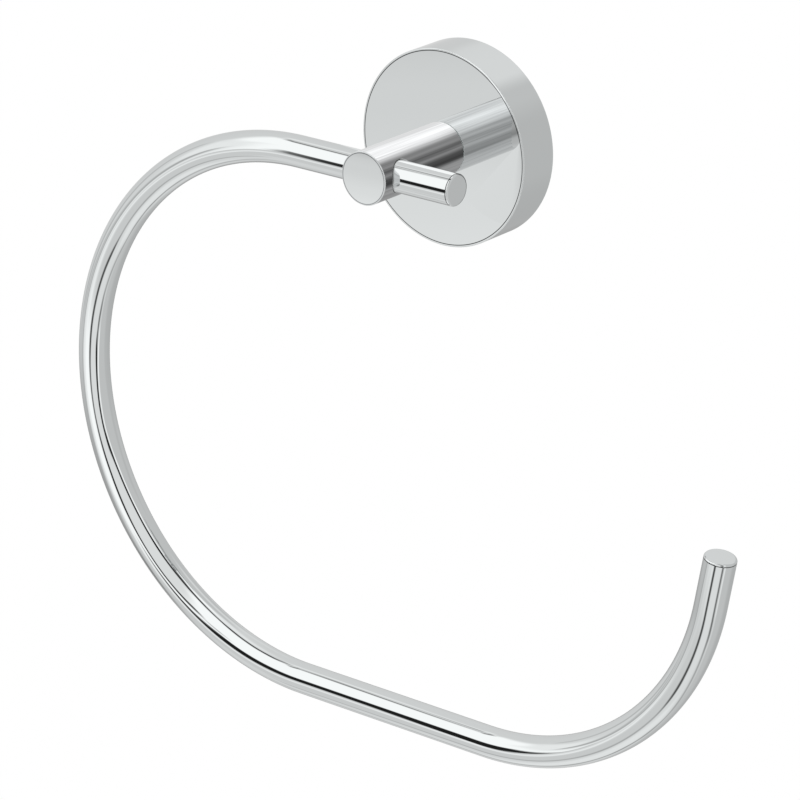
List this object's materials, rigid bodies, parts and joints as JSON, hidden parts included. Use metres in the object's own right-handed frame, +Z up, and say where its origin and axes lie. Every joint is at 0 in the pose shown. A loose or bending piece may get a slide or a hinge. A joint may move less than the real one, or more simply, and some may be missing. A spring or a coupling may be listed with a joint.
{
  "type": "towel ring",
  "caption": "Open towel ring: a round chromed bar bent into a wide oval with one open side, held in a cross bore of a post on a round wall rose.",
  "frame": {"origin": "centre of the rose's back, on the wall plane", "axes": "+Y into the wall, +Z up, +X to the right along the wall; the ring hangs below and the post points to -Y"},
  "size_m": [0.205, 0.0423, 0.1702],
  "materials": {
    "chromed_brass": "bright chrome plate on polished brass",
    "pressed_steel": "zinc-plated pressed steel, dull",
    "screw_steel": "stainless steel, plain turned"
  },
  "bodies": {
    "root": {"wall_rose": "chromed_brass", "post": "chromed_brass", "ring": "chromed_brass", "wall_bracket": "pressed_steel", "post_screw": "screw_steel", "post_washer": "screw_steel", "lock_screw": "screw_steel", "rose_screw": "screw_steel"}
  },
  "joints": []
}
